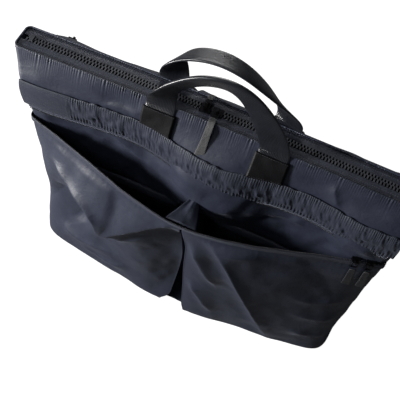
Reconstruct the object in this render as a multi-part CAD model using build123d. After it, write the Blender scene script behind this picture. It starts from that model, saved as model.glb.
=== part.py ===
from build123d import *
import os
from math import atan2, degrees

# Flight bag, empty and standing up. Millimetres. +X to the wearer's right, -Y is the front, +Z up.
# The origin is the middle of the base, on the floor.

# Driving dimensions: the bag body
base_half = 235.0          # half the length at the floor
band_half = 250.0          # half the length at the sewn band
ridge_half = 262.0         # half the length at the top zip
half_depth = 45.0          # half the depth of the body
band_low = 288.0           # height where the walls start to lean in
eave_y = 41.0              # half the depth where the roof slope starts
eave_z = 318.0             # height where the roof slope starts
ridge_y = 16.0             # half the gap that the top zip fills
ridge_z = 352.0            # height of the roof's sewn edge
cloth = 2.5                # a quilted wall, shell and padding together
lining = 1.0
board = 2.0                # stiffener in the base

# Driving dimensions: the front pockets
pocket_height = 250.0      # from the floor to the mouth
pocket_cloth = 2.0
# Left pocket's outline as (x, distance in front of the wall), at the floor and at the mouth
pocket_base = [(-236, 0), (-232, 29), (-192, 49), (-128, 59), (-72, 67), (-20, 73), (-20, 0)]
pocket_mouth = [(-246, 0), (-243, 5), (-190, 18), (-125, 39), (-74, 54), (-6, 63), (-6, 0)]
slip_span = (-185.0, -26.0)   # left slip pocket, along X
slip_low = 60.0
slip_high = 205.0
slip_gap = 5.0
slip_cloth = 1.2
hem_height = 6.0
hem_bulge = 0.6
inner_pocket_half = 90.0
inner_pocket_heights = (120.0, 250.0)

# Driving dimensions: zips
tooth_pitch = 4.0
tooth_width = 1.8
chain_half_width = 4.6
chain_thickness = 4.4
tape_thickness = 1.2
chain_lift = 0.12          # clearance of the top chain over the side walls' upper edges
chain_half_length = 256.0
stop_length = 4.0
running_gap = 0.3          # clearance of every slider on its chain
slider_length = 13.0
slider_plate = 1.6
sliders_meet_x = -16.0     # where the two top sliders stand nose to nose
sliders_apart = 2.0
pin_half = 0.6             # half the thickness of a puller's wire or plate
pin_hole = 1.25
puller_half_width = 4.2

# Driving dimensions: handles
webbing_width = 38.0
webbing_thickness = 3.0
handle_half_span = 73.0
front_handle_top = 442.0
rear_handle_top = 425.0
patch_width = 43.5
patch_thickness = 1.8
patch_length = 30.0
grip_low = 384.0           # where the rear handle's legs turn into its grip

span = 300.0               # longer than anything on the bag, for cutting prisms


def prism_x(points, low, high):
    """A prism along X over an outline given as (y, z)."""
    face = Plane.YZ.offset(low) * make_face(Polyline(*points, close=True))
    return extrude(face, amount=high - low, dir=(1, 0, 0))


def prism_y(points, low, high):
    """A prism along Y over an outline given as (x, z)."""
    face = Plane.XZ.offset(-low) * make_face(Polyline(*points, close=True))
    return extrude(face, amount=high - low, dir=(0, 1, 0))


def prism_z(points, low, high):
    """A prism along Z over an outline given as (x, y)."""
    face = Plane.XY.offset(low) * make_face(Polyline(*points, close=True))
    return extrude(face, amount=high - low, dir=(0, 0, 1))


def block(x_range, y_range, z_range):
    """A rectangular block between three pairs of limits."""
    low = Vector(x_range[0], y_range[0], z_range[0])
    high = Vector(x_range[1], y_range[1], z_range[1])
    size = high - low
    return Pos(*((low + high) * 0.5)) * Box(size.X, size.Y, size.Z)


def beside(points, distance):
    """The corners of an open path moved to its right, mitred at each corner."""
    corners = [Vector(*point) for point in points]
    runs = [(b - a).normalized() for a, b in zip(corners, corners[1:])]
    moved = []
    for index, corner in enumerate(corners):
        before = runs[max(index - 1, 0)]
        after = runs[min(index, len(runs) - 1)]
        side = Vector(before.Y, -before.X) + Vector(after.Y, -after.X)
        reach = distance / (1 + before.dot(after))
        moved.append((corner.X + side.X * reach, corner.Y + side.Y * reach))
    return moved


def mirrored(points):
    """An outline turned over about its second axis."""
    return [(-first, second) for first, second in points]


def front_profile(inset):
    """The front wall and roof slope in (y, z), from the floor to the zip, a distance inside the cloth."""
    outside = [(-half_depth, 0), (-half_depth, band_low), (-eave_y, eave_z), (-ridge_y, ridge_z)]
    line = beside(outside, inset)
    slope = (ridge_z - eave_z) / (eave_y - ridge_y)
    eave = line[2]
    return [(line[0][0], 0), line[1], eave, (-ridge_y, eave[1] + slope * (-ridge_y - eave[0]))]


def body_section(inset):
    """The whole body in (y, z), a distance inside the cloth."""
    front = front_profile(inset)
    return front + mirrored(front)[::-1]


def body_face(inset):
    """The body seen from the front in (x, z): it widens towards the zip."""
    top = ridge_z + 10
    lean = (ridge_half - band_half) / (ridge_z - band_low)
    left = [(inset - base_half, 0), (inset - band_half, band_low), (inset - ridge_half - 10 * lean, top)]
    return left + mirrored(left)[::-1]


def wall(outer, inner, face_inset):
    """A front wall between two insets, cut to the body's width."""
    strip = front_profile(outer) + front_profile(inner)[::-1]
    return prism_x(strip, -span, span) & prism_y(body_face(face_inset), -half_depth, 0)


def side_walls(outer, inner):
    """Both side walls between two insets, standing between the front and back walls."""
    ring = prism_y(body_face(outer), -half_depth, half_depth) - prism_y(body_face(inner), -span, span)
    both = prism_x(body_section(inner), -span, span) & ring
    return both.solids().sort_by(Axis.X)


def body():
    """Shell, lining and stiffener of the main compartment."""
    front = wall(0, cloth, 0)
    gussets = side_walls(0, cloth)
    inner_half = base_half - cloth
    inner_depth = half_depth - cloth
    bottom = block((-inner_half, inner_half), (-inner_depth, inner_depth), (0, cloth))
    stiffener = block((4 - inner_half, inner_half - 4), (3 - inner_depth, inner_depth - 3), (cloth, cloth + board))
    above_board = block((-span, span), (-span, span), (cloth + board, ridge_z))
    lining_front = wall(cloth, cloth + lining, cloth) & above_board
    lining_sides = [side & above_board for side in side_walls(cloth, cloth + lining)]
    return {
        "front_panel": front,
        "back_panel": mirror(front, about=Plane.XZ),
        "left_gusset": gussets[0],
        "right_gusset": gussets[-1],
        "bottom_panel": bottom,
        "base_board": stiffener,
        "lining_front": lining_front,
        "lining_back": mirror(lining_front, about=Plane.XZ),
        "lining_sides": Compound(children=[solid for side in lining_sides for solid in side.solids()]),
    }


def slip_tray(x_range, z_range, wall_y, outward):
    """A flat patch pocket on a wall: a thin tray, open at its top."""
    deep = wall_y + outward * (slip_gap + slip_cloth)
    face = wall_y + outward * slip_gap
    outer = block(x_range, sorted((wall_y, deep)), z_range)
    hollow_x = (x_range[0] + slip_cloth, x_range[1] - slip_cloth)
    return outer - block(hollow_x, sorted((wall_y, face)), (z_range[0] + slip_cloth, z_range[1]))


def inner_pocket():
    """Document pocket on the back lining."""
    lining_face = half_depth - cloth - lining
    x_range = (-inner_pocket_half, inner_pocket_half)
    return {"inner_pocket": slip_tray(x_range, inner_pocket_heights, lining_face, -1)}


def bands():
    """The gathered placket across the front and its plain twin across the back."""
    flap_front = [
        (-half_depth - 3.5, band_low - 8),
        (-half_depth - 1.5, band_low - 8),
        (-half_depth - 1.5, band_low - 2),
        (-half_depth, band_low),
        (-eave_y, eave_z),
        (-eave_y - 2.2, eave_z + 1.5),
        (-half_depth - 3.5, band_low + 1),
    ]
    pad_back = [
        (half_depth, band_low - 4),
        (half_depth + 2, band_low - 4),
        (half_depth + 2, eave_z + 2),
        (eave_y + 0.8, eave_z + 0.3),
        (eave_y + 0.3, eave_z),
        (half_depth + 0.3, band_low),
    ]
    return {
        "front_band": prism_x(flap_front, 2 - band_half, band_half - 2),
        "back_band": prism_x(pad_back, 2 - band_half, band_half - 2),
    }


def chain_middle():
    """Height of the middle of the top zip's chain, just clear of the side walls."""
    return front_profile(cloth)[-1][1] + chain_lift + chain_thickness / 2


def tooth_comb(shift):
    """One side of the top zip: a spine with teeth towards the middle, as an outline in (x, y)."""
    heel = -chain_half_width + 1.7
    tip = 1.2
    outline = [(-chain_half_length, -chain_half_width), (-chain_half_length, heel)]
    count = int(2 * (chain_half_length - tooth_pitch) / tooth_pitch)
    for index in range(count):
        middle = (index - (count - 1) / 2) * tooth_pitch + shift
        left = middle - tooth_width / 2
        right = middle + tooth_width / 2
        outline += [(left, heel), (left, tip), (right, tip), (right, heel)]
    outline += [(chain_half_length, heel), (chain_half_length, -chain_half_width)]
    return outline


def top_zip():
    """Tapes, moulded teeth and end stops of the main zip."""
    middle = chain_middle()
    low = middle - chain_thickness / 2
    high = middle + chain_thickness / 2
    tape_half = chain_half_length + 2
    tape_range = (middle - tape_thickness / 2, middle + tape_thickness / 2)
    front_tape = block((-tape_half, tape_half), (-ridge_y, -chain_half_width), tape_range)
    front_teeth = prism_z(tooth_comb(0), low, high)
    rear_teeth = mirror(prism_z(tooth_comb(tooth_pitch / 2), low, high), about=Plane.XZ)
    stops = []
    for side in (-1, 1):
        x_range = sorted((side * chain_half_length, side * (chain_half_length + stop_length)))
        stops.append(block(x_range, (-chain_half_width, chain_half_width), (low, high + 0.6)))
    return {
        "top_zip_front_tape": front_tape,
        "top_zip_back_tape": mirror(front_tape, about=Plane.XZ),
        "top_zip_front_teeth": front_teeth,
        "top_zip_back_teeth": rear_teeth,
        "top_zip_end_stops": Compound(children=[stop.solid() for stop in stops]),
    }


def top_slider():
    """One top slider over x = 0: a shell above the teeth with a lug, and a shell below them."""
    middle = chain_middle()
    half = slider_length / 2
    inner = chain_half_width + running_gap + 0.1
    outer = inner + 1.4
    teeth_top = middle + chain_thickness / 2 + running_gap
    over_tape = middle + tape_thickness / 2 + running_gap
    upper = block((-half, half), (-outer, outer), (over_tape, teeth_top + slider_plate))
    upper -= block((-half, half), (-inner, inner), (over_tape, teeth_top))
    lower = mirror(upper, about=Plane.XY.offset(middle))
    top = teeth_top + slider_plate
    lug = block((-1.4, 1.4), (-2.2, 2.2), (top, top + 4.4))
    lug -= Pos(0, 0, top + 2) * Rot(0, 90, 0) * Cylinder(pin_hole, 4)
    return Compound(children=[(upper + lug).solid(), lower.solid()]), top + 2


def top_puller(pin_z):
    """A flat puller lying forwards from the lug, with a window for the lug and a slot for the strap."""
    half = puller_half_width
    plate = block((-half, half), (-13.6, pin_half), (pin_z - pin_half, pin_z + pin_half))
    window = block((1.2 - half, half - 1.2), (-6, -pin_half), (pin_z - 1, pin_z + 1))
    slot = block((1.2 - half, half - 1.2), (-12.4, -10.8), (pin_z - 1, pin_z + 1))
    return plate - window - slot


def top_pull_strap(pin_z):
    """A flat strap that bends over the roof's edge and lies on the roof slope."""
    along = Vector(ridge_y - eave_y, eave_z - ridge_z).normalized()
    out = Vector(along.Y, -along.X)
    start = Vector(-ridge_y, ridge_z) + out * 0.7 + along * 2.6
    finish = start + along * 38
    lip = (-14.0, pin_z)
    inner = [(lip[0], lip[1] - 0.6), (start.X, start.Y), (finish.X, finish.Y)]
    outer = [(finish.X + out.X * 1.2, finish.Y + out.Y * 1.2), (start.X + out.X * 1.2, start.Y + out.Y * 1.2)]
    return prism_x(inner + outer + [(lip[0], lip[1] + 0.6)], -5, 5)


def top_sliders():
    """The two top sliders, each with its puller and strap; the left one is thrown to the back."""
    slider, pin_z = top_slider()
    pieces = {"top_slider": slider, "top_puller": top_puller(pin_z), "top_pull_strap": top_pull_strap(pin_z)}
    step = (slider_length + sliders_apart) / 2
    placed = {}
    for name, shape in pieces.items():
        placed["right_" + name] = Pos(sliders_meet_x + step, 0, 0) * shape
        turned = shape if name == "top_slider" else mirror(shape, about=Plane.XZ)
        placed["left_" + name] = Pos(sliders_meet_x - step, 0, 0) * turned
    return placed


def roof_frame():
    """A point high on the front roof slope, the direction down the slope and the one out of it."""
    down = Vector(ridge_y - eave_y, eave_z - ridge_z).normalized()
    out = Vector(down.Y, -down.X)
    return Vector(-ridge_y, ridge_z) + down * 5, down, out


def handle_pivot():
    """Where the webbing bends, in (y, z), above the top of its sewn patch."""
    start, _, out = roof_frame()
    return start + out * (webbing_thickness / 2 + 0.8)


def on_roof(low, high, near, far, x_range):
    """A plate on the roof slope: two distances down the slope and two above the cloth."""
    start, down, out = roof_frame()
    spots = [(low, near), (high, near), (high, far), (low, far)]
    points = [start + down * along + out * above for along, above in spots]
    return prism_x([(point.X, point.Y) for point in points], *x_range)


def handle_feet():
    """The sewn ends of one handle's webbing, under the patches."""
    feet = []
    for side in (-1, 1):
        middle = side * handle_half_span
        x_range = (middle - webbing_width / 2, middle + webbing_width / 2)
        feet.append(on_roof(2.4, 6 + patch_length - 1, 0, webbing_thickness - 0.5, x_range).solid())
    return Compound(children=feet)


def leather_patch(side):
    """A leather patch sewn over one webbing end."""
    middle = side * handle_half_span
    x_range = (middle - patch_width / 2, middle + patch_width / 2)
    near = webbing_thickness - 0.5
    return on_roof(6, 6 + patch_length, near, near + patch_thickness, x_range)


def front_handle():
    """The front handle's free webbing: a flat arch that stands on edge over the bag."""
    pivot = handle_pivot()
    outer = handle_half_span + webbing_width / 2
    arch = Circle(outer) - Circle(outer - webbing_width)
    arch = extrude(Plane.XZ * arch, amount=webbing_thickness / 2, both=True)
    arch = Pos(0, pivot.X, front_handle_top - outer) * arch
    keep_half = block((-span, span), (-span, span), (pivot.Y - running_gap, front_handle_top + 1))
    return arch & keep_half


def rear_handle():
    """The rear handle's free webbing: two upright legs and a grip that lies flat across them."""
    pivot = handle_pivot()
    half = webbing_thickness / 2
    radius = handle_half_span + half
    arch = Circle(radius) - Circle(radius - webbing_thickness)
    grip = extrude(Plane.XZ * arch, amount=webbing_width / 2, both=True)
    grip = Pos(0, pivot.X, rear_handle_top - radius) * grip
    grip &= block((-span, span), (-span, span), (grip_low, rear_handle_top + 1))
    legs = []
    for side in (-1, 1):
        middle = side * handle_half_span
        x_range = (middle - webbing_width / 2, middle + webbing_width / 2)
        y_range = (pivot.X - half, pivot.X + half)
        legs.append(block(x_range, y_range, (pivot.Y - running_gap, grip_low + 4)))
    return mirror(grip + legs[0] + legs[1], about=Plane.XZ)


def handles():
    """Both handles with their sewn feet and leather patches."""
    feet = handle_feet()
    left = leather_patch(-1)
    right = leather_patch(1)
    return {
        "front_handle": front_handle(),
        "rear_handle": rear_handle(),
        "front_handle_feet": feet,
        "rear_handle_feet": mirror(feet, about=Plane.XZ),
        "front_left_patch": left,
        "front_right_patch": right,
        "rear_left_patch": mirror(left, about=Plane.XZ),
        "rear_right_patch": mirror(right, about=Plane.XZ),
    }


def between(low, high, share):
    """The outline a share of the way from one outline to another."""
    pairs = zip(low, high)
    return [(a[0] + (b[0] - a[0]) * share, a[1] + (b[1] - a[1]) * share) for a, b in pairs]


def ruled_wall(low, high, z_low, z_high):
    """A wall ruled between an outline at one height and its partner at another."""
    bottom = Plane.XY.offset(z_low) * make_face(Polyline(*low, close=True))
    top = Plane.XY.offset(z_high) * make_face(Polyline(*high, close=True))
    return loft([bottom, top], ruled=True)


def in_front(outline):
    """An outline measured from the front wall, as (x, y)."""
    return [(across, -half_depth - ahead) for across, ahead in outline]


def inside(outline):
    """The inner face of a pocket's cloth; its two ends stay on the body's front wall."""
    line = beside(outline, -pocket_cloth)
    return [(line[0][0], -half_depth)] + line[1:-1] + [(line[-1][0], -half_depth)]


def left_pocket():
    """The left bellows pocket: front, outer side, inner side and base."""
    outer_base = in_front(pocket_base)
    outer_mouth = in_front(pocket_mouth)
    inner_base = inside(outer_base)
    inner_mouth = inside(outer_mouth)

    def wall_part(first, last):
        low = outer_base[first:last] + inner_base[first:last][::-1]
        high = outer_mouth[first:last] + inner_mouth[first:last][::-1]
        return ruled_wall(low, high, 0, pocket_height)

    floor_top = between(inner_base, inner_mouth, pocket_cloth / pocket_height)
    return {
        "pocket_front": wall_part(1, 6),
        "pocket_outer_side": wall_part(0, 2),
        "pocket_inner_side": wall_part(5, 7),
        "pocket_base": ruled_wall(inner_base, floor_top, 0, pocket_cloth),
        "slip_pocket": slip_tray(slip_span, (slip_low, slip_high), -half_depth, -1),
        "slip_pocket_hem": slip_hem(),
    }


def slip_hem():
    """The bound hem along the slip pocket's top edge."""
    face = -half_depth - slip_gap
    return block(slip_span, (face - slip_cloth - hem_bulge, face), (slip_high, slip_high + hem_height))


def front_pockets():
    """Both bellows pockets; the right one is the left one's mirror image."""
    pieces = {}
    for name, shape in left_pocket().items():
        pieces["left_" + name] = shape
        pieces["right_" + name] = mirror(shape, about=Plane.YZ)
    return pieces


def mouth_line():
    """The middle of the pocket cloth along the whole open mouth, in (x, y)."""
    left = beside(in_front(pocket_mouth), -pocket_cloth / 2)[1:6]
    return left + mirrored(left)[::-1]


def along_mouth(thickness, z_low, z_high):
    """A strip standing on the mouth line."""
    line = mouth_line()
    outline = beside(line, thickness / 2) + beside(line, -thickness / 2)[::-1]
    return prism_z(outline, z_low, z_high)


lip_tape_top = pocket_height + 8
lip_teeth_half = 1.1
lip_teeth_top = lip_tape_top + 2.6
upper_tape_low = band_low - 26


def front_zip():
    """The open zip of the front pockets: one side along the lip, the other under the band."""
    reach = band_half - 6
    upper_tape = block((-reach, reach), (-half_depth - tape_thickness, -half_depth), (upper_tape_low, band_low - 3))
    teeth_y = (-half_depth - 2 * lip_teeth_half, -half_depth)
    return {
        "front_zip_lip_tape": along_mouth(tape_thickness, pocket_height, lip_tape_top),
        "front_zip_lip_teeth": along_mouth(2 * lip_teeth_half, lip_tape_top, lip_teeth_top),
        "front_zip_upper_tape": upper_tape,
        "front_zip_upper_teeth": block((-reach, reach), teeth_y, (upper_tape_low - 2.6, upper_tape_low)),
    }


def lip_slider():
    """A slider that straddles the lip's teeth, over the origin and along +X."""
    inner = lip_teeth_half + running_gap
    outer = inner + 1.2
    shell = block((-5.5, 5.5), (-outer, outer), (lip_tape_top - 3.5, lip_teeth_top + running_gap + 1.4))
    shell -= block((-5.5, 5.5), (-inner, inner), (lip_tape_top - 3.5, lip_teeth_top + running_gap))
    lug = block((-1.2, 1.2), (-outer - 3.8, -outer), (lip_tape_top - 0.8, lip_tape_top + 3.8))
    lug -= Pos(0, -outer - 2, lip_tape_top + 1.5) * Rot(0, 90, 0) * Cylinder(pin_hole, 4)
    return shell + lug, -outer - 2, lip_tape_top + 1.5


def wire_puller(pin_y, pin_z):
    """A rectangular wire loop hanging from its pin."""
    outer = block((-4, 4), (pin_y - pin_half, pin_y + pin_half), (pin_z - 12.4, pin_z + pin_half))
    return outer - block((-2.8, 2.8), (pin_y - 2, pin_y + 2), (pin_z - 11.2, pin_z - pin_half))


def lip_pull_strap(pin_y, pin_z):
    """A flat strap hanging from the wire loop, standing off the pocket's bulge."""
    top = pin_z - 12.6
    low = 205.0
    lean = 6.4
    side = [(pin_y - 0.5, top), (pin_y + 0.5, top), (pin_y - lean + 0.5, low), (pin_y - lean - 0.5, low)]
    return prism_x(side, -5, 5)


def lip_sliders():
    """Two sliders at the right end of the front zip, each with a wire loop and a strap."""
    slider, pin_y, pin_z = lip_slider()
    pieces = {"slider": slider, "puller": wire_puller(pin_y, pin_z), "pull_strap": lip_pull_strap(pin_y, pin_z)}
    line = mouth_line()
    start = Vector(*line[-2])
    run = (Vector(*line[-1]) - start).normalized()
    turn = degrees(atan2(run.Y, run.X))
    placed = {}
    for which, distance in (("inner", 22.0), ("outer", 40.0)):
        spot = start + run * distance
        for name, shape in pieces.items():
            placed[which + "_front_" + name] = Pos(spot.X, spot.Y, 0) * Rot(0, 0, turn) * shape
    return placed


def back_zip():
    """The closed zip of the flat back pocket, with its slider at the left end."""
    face = half_depth + 2
    reach = band_half - 8
    middle = eave_z - 9
    lower_tape = block((-reach, reach), (face, face + 1), (middle - 10, middle - 1.4))
    upper_tape = block((-reach, reach), (face, face + 1), (middle + 1.4, middle + 10))
    teeth = block((-reach, reach), (face, face + 3), (middle - 1.4, middle + 1.4))
    inner = 1.4 + running_gap
    outer = inner + 2.7
    near = face + 1 + running_gap
    far = face + 3 + running_gap + slider_plate
    slider = block((-6, 6), (near, far), (middle - outer, middle + outer))
    slider -= block((-6, 6), (near, face + 3 + running_gap), (middle - inner, middle + inner))
    lug = block((-1.4, 1.4), (far, far + 4.4), (middle - 2.2, middle + 2.2))
    lug -= Pos(0, far + 2.2, middle) * Rot(0, 90, 0) * Cylinder(pin_hole, 4)
    place = Pos(8 - reach, 0, 0)
    return {
        "back_zip_tapes": Compound(children=[lower_tape.solid(), upper_tape.solid()]),
        "back_zip_teeth": teeth,
        "back_slider": place * (slider + lug),
        "back_puller": place * wire_puller(far + 2.2, middle),
    }


def write_parts():
    """One STEP file for each named piece."""
    os.makedirs("parts", exist_ok=True)
    groups = [body(), inner_pocket(), bands(), top_zip(), top_sliders(), handles()]
    groups += [front_pockets(), front_zip(), lip_sliders(), back_zip()]
    for group in groups:
        for name, shape in group.items():
            export_step(shape, "parts/" + name + ".step")


write_parts()
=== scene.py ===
from math import cos, pi, radians, sin

import bpy
import numpy as np
from mathutils import Matrix, Vector


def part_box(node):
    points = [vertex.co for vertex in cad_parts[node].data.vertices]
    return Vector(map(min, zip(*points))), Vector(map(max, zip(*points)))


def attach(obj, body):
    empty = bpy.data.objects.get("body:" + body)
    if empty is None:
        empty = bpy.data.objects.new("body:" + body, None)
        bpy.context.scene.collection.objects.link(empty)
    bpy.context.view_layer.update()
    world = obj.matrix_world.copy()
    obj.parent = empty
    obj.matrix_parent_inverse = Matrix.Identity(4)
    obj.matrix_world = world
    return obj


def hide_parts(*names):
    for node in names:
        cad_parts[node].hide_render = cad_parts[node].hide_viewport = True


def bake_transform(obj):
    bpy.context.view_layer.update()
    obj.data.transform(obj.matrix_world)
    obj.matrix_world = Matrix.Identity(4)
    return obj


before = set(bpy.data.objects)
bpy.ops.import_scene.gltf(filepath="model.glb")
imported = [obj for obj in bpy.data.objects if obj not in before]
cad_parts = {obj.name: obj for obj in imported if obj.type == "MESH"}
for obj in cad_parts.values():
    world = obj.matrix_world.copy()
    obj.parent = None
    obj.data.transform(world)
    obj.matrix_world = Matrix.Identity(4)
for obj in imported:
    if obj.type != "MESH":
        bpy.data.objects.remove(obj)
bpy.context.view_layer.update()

# ---------------------------------------------------------------------------------------------
# The studio: white paper under the bag, a soft window light from its left, weaker lights above it,
# behind it and over its front, and a camera that looks down on its front from the right.
scene = bpy.context.scene
scene.view_settings.view_transform = "Standard"

view_azimuth = radians(16.49)
view_elevation = radians(60.68)
view_roll = radians(8.76)
eye = Vector((0.1301, -0.4846, 1.0361))
focal_length_mm = 64.06


def camera_axes(azimuth, elevation, roll):
    """The camera's right, up and backward directions."""
    back = Vector((sin(azimuth) * cos(elevation), -cos(azimuth) * cos(elevation), sin(elevation)))
    level = Vector((cos(azimuth), sin(azimuth), 0))
    upright = back.cross(level)
    right = level * cos(roll) + upright * sin(roll)
    return right, back.cross(right), back


camera = bpy.data.objects.new("camera", bpy.data.cameras.new("camera"))
scene.collection.objects.link(camera)
camera.data.lens = focal_length_mm
camera.data.sensor_width = 36
camera.data.clip_start = 0.01
camera_turn = Matrix(camera_axes(view_azimuth, view_elevation, view_roll)).transposed()
camera.matrix_world = Matrix.Translation(eye) @ camera_turn.to_4x4()
scene.camera = camera


def soft_light(name, place, aim, size, watts, colour):
    """A square area lamp that points at a spot."""
    lamp = bpy.data.lights.new(name, "AREA")
    lamp.shape = "SQUARE"
    lamp.size = size
    lamp.energy = watts
    lamp.color = colour
    holder = bpy.data.objects.new(name, lamp)
    scene.collection.objects.link(holder)
    holder.location = place
    holder.rotation_euler = (Vector(aim) - Vector(place)).to_track_quat("-Z", "Y").to_euler()


soft_light("window", (-1.36, -0.7, 0.6), (-0.03, -0.05, 0.2), 0.3, 44, (1.0, 0.985, 0.97))
soft_light("overhead", (-0.3, 0.35, 1.45), (0, 0, 0.35), 0.3, 1.8, (1, 1, 1))
soft_light("rear_fill", (-0.5, 1.25, 0.8), (0, 0, 0.25), 0.5, 7, (1, 1, 1))
soft_light("front_top", (-0.45, -0.9, 1.4), (-0.03, -0.05, 0.25), 0.4, 1.2, (0.96, 0.98, 1.0))

world = bpy.data.worlds.new("studio")
world.use_nodes = True
room = world.node_tree.nodes["Background"]
room.inputs["Color"].default_value = (0.9, 0.93, 1.0, 1)
room.inputs["Strength"].default_value = 0.06
backdrop = world.node_tree.nodes.new("ShaderNodeBackground")
backdrop.inputs["Color"].default_value = (1, 1, 1, 1)
seen = world.node_tree.nodes.new("ShaderNodeLightPath")
either = world.node_tree.nodes.new("ShaderNodeMixShader")
world.node_tree.links.new(seen.outputs["Is Camera Ray"], either.inputs[0])
world.node_tree.links.new(room.outputs[0], either.inputs[1])
world.node_tree.links.new(backdrop.outputs[0], either.inputs[2])
world.node_tree.links.new(either.outputs[0], world.node_tree.nodes["World Output"].inputs["Surface"])
scene.world = world


def paper_material():
    """Paper that the camera sees as plain white, while it throws only a little light up on the bag."""
    material = bpy.data.materials.new("white_paper")
    material.use_nodes = True
    nodes = material.node_tree.nodes
    links = material.node_tree.links
    nodes.clear()
    path = nodes.new("ShaderNodeLightPath")
    matte = nodes.new("ShaderNodeBsdfDiffuse")
    matte.inputs["Color"].default_value = (0.18, 0.18, 0.18, 1)
    glow = nodes.new("ShaderNodeEmission")
    glow.inputs["Strength"].default_value = 1.0
    dark = nodes.new("ShaderNodeEmission")
    dark.inputs["Strength"].default_value = 0
    lift = nodes.new("ShaderNodeMixShader")
    links.new(path.outputs["Is Camera Ray"], lift.inputs[0])
    links.new(dark.outputs[0], lift.inputs[1])
    links.new(glow.outputs[0], lift.inputs[2])
    both = nodes.new("ShaderNodeAddShader")
    links.new(matte.outputs[0], both.inputs[0])
    links.new(lift.outputs[0], both.inputs[1])
    output = nodes.new("ShaderNodeOutputMaterial")
    links.new(both.outputs[0], output.inputs["Surface"])
    return material


def paper_sheet():
    """The floor that the bag stands on."""
    half = 6.0
    mesh = bpy.data.meshes.new("floor")
    corners = [(-half, -half, 0), (half, -half, 0), (half, half, 0), (-half, half, 0)]
    mesh.from_pydata(corners, [], [(0, 1, 2, 3)])
    sheet = bpy.data.objects.new("floor", mesh)
    scene.collection.objects.link(sheet)
    mesh.materials.append(paper_material())
    sheet.location.z = -0.0005


paper_sheet()

# ---------------------------------------------------------------------------------------------
# Shell cloth: a dark navy nylon twill, quilted to thin padding, cut in four panels that are lofted
# round the bag and sewn at the corners. It sags between the seams and puckers along them.
MM = 0.001
wall_low, wall_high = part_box("front_panel")
wall_y = -wall_low.y / MM            # half the depth of the body
ridge_half = wall_high.x / MM        # half the length at the zip
ridge_z = wall_high.z / MM           # height of the sewn roof edge
ridge_y = -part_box("top_zip_front_tape")[0].y / MM
patch_low, patch_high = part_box("front_right_patch")
foot_x = (patch_low.x + patch_high.x) / 2 / MM      # where the ends of the handles are sewn
patch_half = (patch_high.x - patch_low.x) / 2 / MM  # half the width of their leather patches


def smoothstep(value):
    """0 to 1 with level ends."""
    value = np.clip(value, 0, 1)
    return value * value * (3 - 2 * value)


def noise(across, along, seed):
    """Smooth random heights from -1 to 1 on a grid of whole numbers."""
    size = 128
    table = np.random.default_rng(seed).uniform(-1, 1, (size, size))
    column = np.floor(across).astype(int)
    row = np.floor(along).astype(int)
    right = smoothstep(across - column)
    up = smoothstep(along - row)
    here, beyond = column % size, (column + 1) % size
    below, above = row % size, (row + 1) % size
    low = table[below, here] * (1 - right) + table[below, beyond] * right
    high = table[above, here] * (1 - right) + table[above, beyond] * right
    return low * (1 - up) + high * up


def gathers(along, from_edge, seed, pitch, depth, reach):
    """Short pleats square to a sewn edge, fading away from it."""
    phase = along / pitch + 0.55 * noise(along / (2.7 * pitch), 0.0, seed)
    strength = 0.65 + 0.35 * noise(along / (6 * pitch), 3.3, seed + 1)
    return depth * strength * np.sin(2 * pi * phase) * np.exp(-np.abs(from_edge) / reach)


def rounded(points, rounds=3):
    """A path with its corners cut until it is smooth; the ends stay."""
    path = np.array(points, float)
    for _ in range(rounds):
        first = path[:-1] * 0.75 + path[1:] * 0.25
        second = path[:-1] * 0.25 + path[1:] * 0.75
        middle = np.stack([first, second], 1).reshape(-1, path.shape[1])
        path = np.vstack([path[:1], middle[1:-1], path[-1:]])
    return path


def spaced(path, shares, axes=None):
    """Points of a path at shares of its length, measured on the given axes."""
    track = path if axes is None else path[:, axes]
    length = np.concatenate([[0], np.cumsum(np.linalg.norm(np.diff(track, axis=0), axis=1))])
    length /= length[-1]
    return np.stack([np.interp(shares, length, path[:, k]) for k in range(path.shape[1])], -1)


def cloth(name, grids, thickness):
    """A mesh from grids of points in millimetres, with a UV map that measures the cloth in metres."""
    corners, quads, places = [], [], []
    count = 0
    for points in [grids] if isinstance(grids, np.ndarray) else grids:
        rows, columns = points.shape[:2]
        index = count + np.arange(rows * columns).reshape(rows, columns)
        faces = np.stack([index[:-1, :-1], index[:-1, 1:], index[1:, 1:], index[1:, :-1]], -1).reshape(-1, 4)
        across = np.linalg.norm(np.diff(points, axis=1), axis=2).mean(0)
        up = np.linalg.norm(np.diff(points, axis=0), axis=2).mean(1)
        u = np.concatenate([[0], np.cumsum(across)]) * MM
        v = np.concatenate([[0], np.cumsum(up)]) * MM
        corners.append(points.reshape(-1, 3) * MM)
        places.append(np.stack(np.meshgrid(u, v), -1).reshape(-1, 2))
        quads.append(faces)
        count += rows * columns
    quads = np.vstack(quads)
    mesh = bpy.data.meshes.new(name)
    mesh.from_pydata(np.vstack(corners).tolist(), [], quads.tolist())
    layer = mesh.uv_layers.new(name="Cloth")
    layer.data.foreach_set("uv", np.vstack(places)[quads.reshape(-1)].astype(np.float32).ravel())
    mesh.shade_smooth()
    piece = bpy.data.objects.new(name, mesh)
    scene.collection.objects.link(piece)
    wall = piece.modifiers.new("wall", "SOLIDIFY")
    wall.thickness = thickness * MM
    wall.offset = -1
    wall.use_even_offset = False
    return piece


def finish_piece(piece, material, body="bag", replaced=()):
    """Gives a piece its material, its body and the pieces that it stands for."""
    if not piece.data.materials:
        piece.data.materials.append(material)
    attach(piece, body)
    if replaced:
        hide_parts(*replaced)
    return piece


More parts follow.
